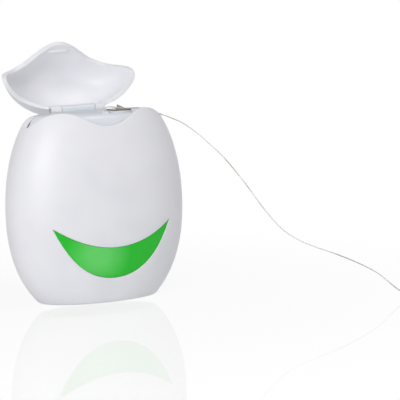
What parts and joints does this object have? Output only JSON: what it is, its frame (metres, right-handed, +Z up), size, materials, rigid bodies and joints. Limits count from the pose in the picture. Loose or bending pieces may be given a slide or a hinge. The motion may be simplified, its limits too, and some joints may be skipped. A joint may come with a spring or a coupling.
{
  "type": "dental floss dispenser",
  "caption": "Pebble-shaped floss case with a hinged flip lid standing open, a curved translucent window, a steel cutter and a spool inside, a length of floss drawn out to the side.",
  "frame": {"origin": "middle of the flat base", "axes": "+Z up the case, the front with the curved window towards -Y, +X to the right seen from the front, the lid's hinge at the rear along X"},
  "size_m": [0.112, 0.072, 0.0696],
  "materials": {
    "case_plastic": "smooth moulded white polypropylene",
    "insert_plastic": "smooth moulded bluish white polypropylene",
    "window_plastic": "clear green, polished",
    "cutter_steel": "bright rolled sheet",
    "pin_steel": "drawn wire",
    "bobbin_plastic": "smooth moulded",
    "floss": "waxed, slightly see-through"
  },
  "bodies": {
    "case": {"front_shell": "case_plastic", "rear_shell": "case_plastic", "smile_window": "window_plastic", "top_insert": "insert_plastic", "floss_cutter": "cutter_steel", "hinge_pin": "pin_steel", "floss_feed": "floss", "floss_strand": "floss"},
    "lid": {"lid": "case_plastic"},
    "bobbin": {"bobbin": "bobbin_plastic", "bobbin_flange": "bobbin_plastic", "floss_winding": "floss"}
  },
  "joints": [
    {"name": "lid_hinge", "type": "hinge", "parent": "case", "child": "lid", "pos_m": [0, 0.00973, 0.0514], "axis": [1, 0, 0], "range_deg": [0, 128]},
    {"name": "bobbin_spin", "type": "hinge", "parent": "case", "child": "bobbin", "pos_m": [0, 0, 0.0265], "axis": [0, 1, 0], "continuous": true}
  ]
}
